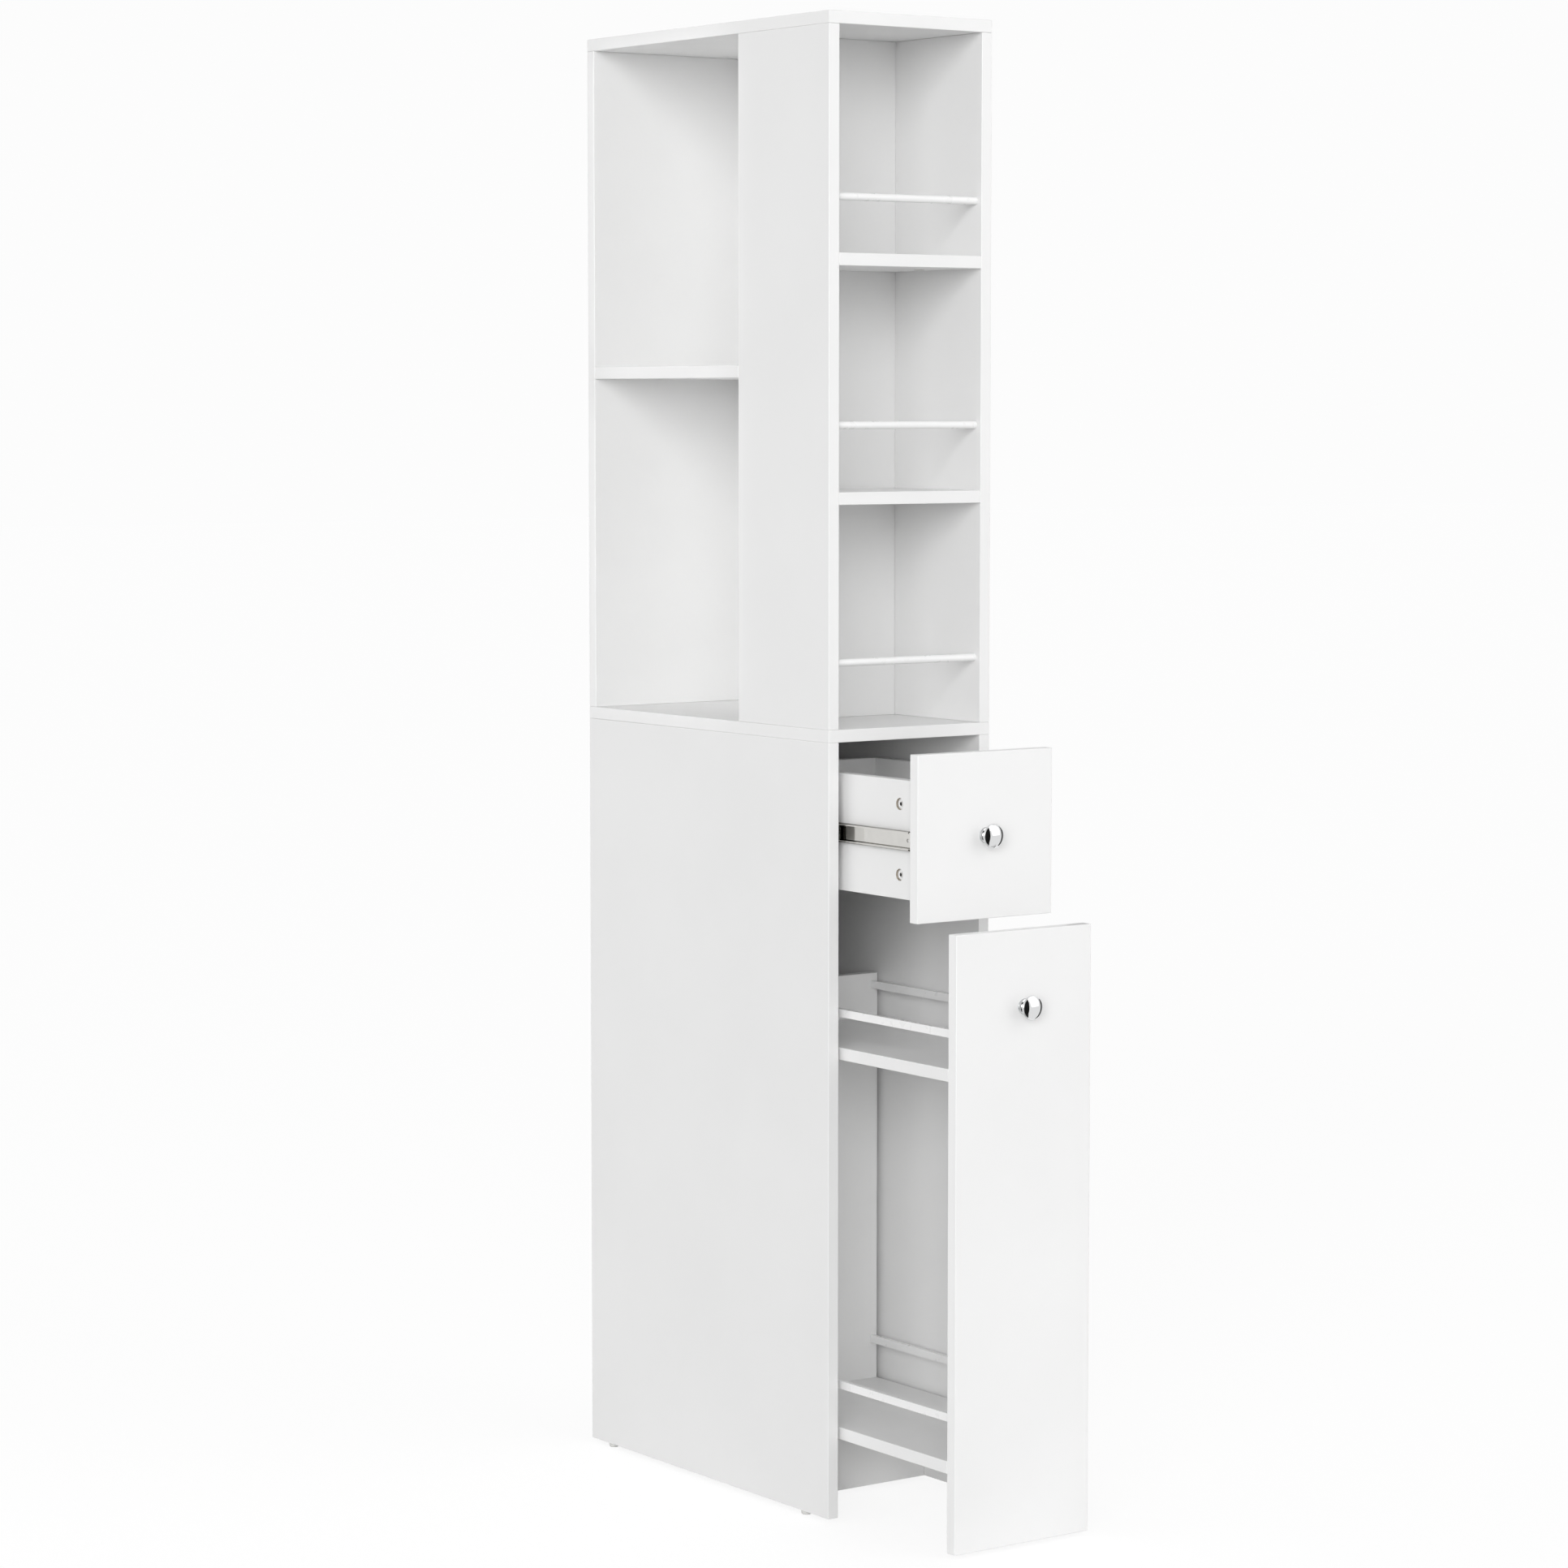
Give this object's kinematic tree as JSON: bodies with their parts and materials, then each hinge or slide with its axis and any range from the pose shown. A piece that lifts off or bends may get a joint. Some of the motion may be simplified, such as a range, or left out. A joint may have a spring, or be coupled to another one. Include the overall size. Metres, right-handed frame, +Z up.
{
  "type": "bathroom storage tower",
  "caption": "Slim tall bathroom tower in white board: open bays above, a drawer and a full-height pull-out on telescopic slides below, with round metal knobs.",
  "frame": {"origin": "centre of the part's bounding box at floor level, with the drawer and the pull-out drawn forward as in the picture", "axes": "+Z up, -Y out of the front, +X to the right when facing the front"},
  "size_m": [0.24, 0.7534, 1.785],
  "materials": {
    "case_board": "satin melamine-faced board with matching edge band",
    "front_board": "satin lacquered board",
    "rail_lacquer": "white lacquer",
    "dowel_wood": "raw beech",
    "fitting_metal": "zinc plated",
    "screw_steel": "zinc plated",
    "slide_steel": "cold rolled, bright zinc",
    "cage_steel": "stamped strip with polished balls",
    "knob_chrome": "polished",
    "glide_plastic": "moulded"
  },
  "bodies": {
    "case": {"top_panel": "case_board", "upper_right_side": "case_board", "upper_left_strip": "case_board", "upper_back_panel": "case_board", "partition": "case_board", "front_shelf_upper": "case_board", "front_shelf_lower": "case_board", "side_shelf": "case_board", "bottle_rail_top": "rail_lacquer", "bottle_rail_middle": "rail_lacquer", "bottle_rail_bottom": "rail_lacquer", "middle_board": "case_board", "lower_left_side": "case_board", "lower_right_side": "case_board", "lower_back_panel": "case_board", "plinth_rail": "case_board", "rear_rail": "case_board", "glide_feet": "glide_plastic", "case_dowels": "dowel_wood", "case_cam_fittings": "fitting_metal", "case_slide_screws": "screw_steel", "drawer_slide_outer_left": "slide_steel", "drawer_slide_outer_right": "slide_steel", "pullout_slide_outer_left": "slide_steel", "pullout_slide_outer_right": "slide_steel"},
    "drawer_middle_members": {"drawer_slide_middle_left": "slide_steel", "drawer_slide_middle_right": "slide_steel"},
    "drawer_outer_balls": {"drawer_outer_cages": "cage_steel"},
    "drawer_inner_balls": {"drawer_inner_cages": "cage_steel"},
    "drawer": {"drawer_front": "front_board", "drawer_left_side": "case_board", "drawer_right_side": "case_board", "drawer_back": "case_board", "drawer_bottom": "case_board", "drawer_slide_inner_left": "slide_steel", "drawer_slide_inner_right": "slide_steel", "drawer_slide_screws": "screw_steel", "drawer_cam_fittings": "fitting_metal", "drawer_dowels": "dowel_wood", "drawer_knob": "knob_chrome", "drawer_knob_screw": "screw_steel"},
    "pullout_middle_members": {"pullout_slide_middle_left": "slide_steel", "pullout_slide_middle_right": "slide_steel"},
    "pullout_outer_balls": {"pullout_outer_cages": "cage_steel"},
    "pullout_inner_balls": {"pullout_inner_cages": "cage_steel"},
    "pullout": {"pullout_front": "front_board", "pullout_back": "case_board", "pullout_bottom_shelf": "case_board", "pullout_middle_shelf": "case_board", "gallery_rail_lower_left": "rail_lacquer", "gallery_rail_lower_right": "rail_lacquer", "gallery_rail_upper_left": "rail_lacquer", "gallery_rail_upper_right": "rail_lacquer", "pullout_slide_inner_left": "slide_steel", "pullout_slide_inner_right": "slide_steel", "pullout_slide_screws": "screw_steel", "pullout_cam_fittings": "fitting_metal", "pullout_dowels": "dowel_wood", "pullout_knob": "knob_chrome", "pullout_knob_screw": "screw_steel"}
  },
  "joints": [
    {"name": "drawer_stage_1", "type": "slide", "parent": "case", "child": "drawer_middle_members", "axis": [0, -1, 0], "range_m": [0, 0.15]},
    {"name": "drawer_stage_2", "type": "slide", "parent": "drawer_middle_members", "child": "drawer", "axis": [0, -1, 0], "range_m": [-0.1454, 0.0046]},
    {"name": "drawer_outer_roll", "type": "slide", "parent": "case", "child": "drawer_outer_balls", "axis": [0, -1, 0], "range_m": [0, 0.075]},
    {"name": "drawer_inner_roll", "type": "slide", "parent": "drawer_middle_members", "child": "drawer_inner_balls", "axis": [0, -1, 0], "range_m": [-0.0727, 0.0023]},
    {"name": "pullout_stage_1", "type": "slide", "parent": "case", "child": "pullout_middle_members", "axis": [0, -1, 0], "range_m": [-0.069, 0.081]},
    {"name": "pullout_stage_2", "type": "slide", "parent": "pullout_middle_members", "child": "pullout", "axis": [0, -1, 0], "range_m": [-0.15, 0]},
    {"name": "pullout_outer_roll", "type": "slide", "parent": "case", "child": "pullout_outer_balls", "axis": [0, -1, 0], "range_m": [-0.0345, 0.0405]},
    {"name": "pullout_inner_roll", "type": "slide", "parent": "pullout_middle_members", "child": "pullout_inner_balls", "axis": [0, -1, 0], "range_m": [-0.075, 0]}
  ],
  "couplings": [
    {"joint": "drawer_outer_roll", "follows": "drawer_stage_1", "ratio": 0.5},
    {"joint": "drawer_inner_roll", "follows": "drawer_stage_2", "ratio": 0.5},
    {"joint": "pullout_outer_roll", "follows": "pullout_stage_1", "ratio": 0.5},
    {"joint": "pullout_inner_roll", "follows": "pullout_stage_2", "ratio": 0.5}
  ]
}
